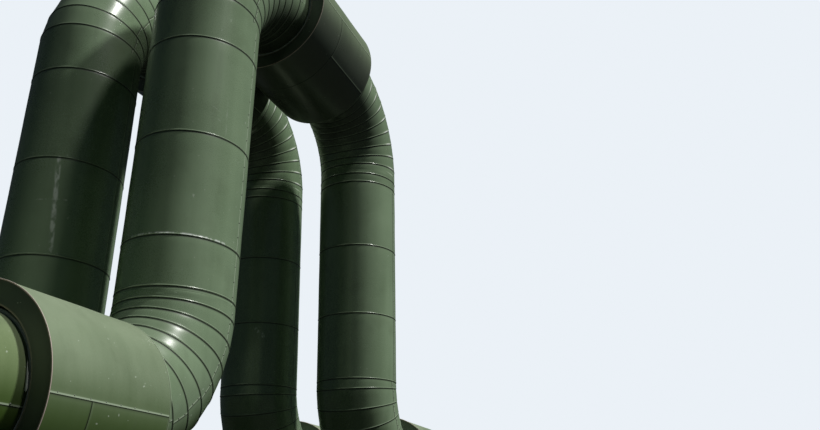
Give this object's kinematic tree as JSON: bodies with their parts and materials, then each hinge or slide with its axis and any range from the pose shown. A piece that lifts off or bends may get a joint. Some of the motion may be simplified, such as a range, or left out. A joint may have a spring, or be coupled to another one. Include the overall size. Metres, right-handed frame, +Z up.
{
  "type": "industrial pipe bridge",
  "caption": "Pair of insulated steel pipelines that rise, cross a clear way overhead and come down again on trestles, clad in dark green sheet with lobster-back bends.",
  "frame": {"origin": "on the ground, between the two pipes and midway along their whole length", "axes": "+X along the pipes, toward the far end; +Y across them, toward loop b; +Z up"},
  "size_m": [13.444, 3.07, 8.2348],
  "materials": {
    "pipe_cladding": "semi-gloss dark olive green coated sheet",
    "sleeve_cladding": "semi-gloss dark olive green coated sheet",
    "end_plate": "matt dark green sheet",
    "seal_strip": "weathered light grey sealing strip",
    "carrier_steel": "red-brown primer on steel, bevelled ends",
    "saddle_steel": "grey painted steel plate",
    "trestle_steel": "grey painted rolled steel"
  },
  "bodies": {
    "root": {"far_carrier_a": "carrier_steel", "far_carrier_b": "carrier_steel", "far_leg_a": "pipe_cladding", "far_leg_b": "pipe_cladding", "far_lower_bend_a": "pipe_cladding", "far_lower_bend_b": "pipe_cladding", "far_run_a": "pipe_cladding", "far_run_b": "pipe_cladding", "far_saddles": "saddle_steel", "far_sleeve_a": "sleeve_cladding", "far_sleeve_b": "sleeve_cladding", "far_trestle_beam": "trestle_steel", "far_trestle_columns": "trestle_steel", "far_trestle_feet": "trestle_steel", "far_upper_bend_a": "pipe_cladding", "far_upper_bend_b": "pipe_cladding", "near_carrier_a": "carrier_steel", "near_carrier_b": "carrier_steel", "near_leg_a": "pipe_cladding", "near_leg_b": "pipe_cladding", "near_lower_bend_a": "pipe_cladding", "near_lower_bend_b": "pipe_cladding", "near_run_a": "pipe_cladding", "near_run_b": "pipe_cladding", "near_saddles": "saddle_steel", "near_sleeve_a": "sleeve_cladding", "near_sleeve_b": "sleeve_cladding", "near_trestle_beam": "trestle_steel", "near_trestle_columns": "trestle_steel", "near_trestle_feet": "trestle_steel", "near_upper_bend_a": "pipe_cladding", "near_upper_bend_b": "pipe_cladding", "sleeve_ring_plates_a": "end_plate", "sleeve_ring_plates_b": "end_plate", "sleeve_seals_a": "seal_strip", "sleeve_seals_b": "seal_strip", "top_run_a": "pipe_cladding", "top_run_b": "pipe_cladding", "top_sleeve_a": "sleeve_cladding", "top_sleeve_b": "sleeve_cladding"}
  },
  "joints": []
}
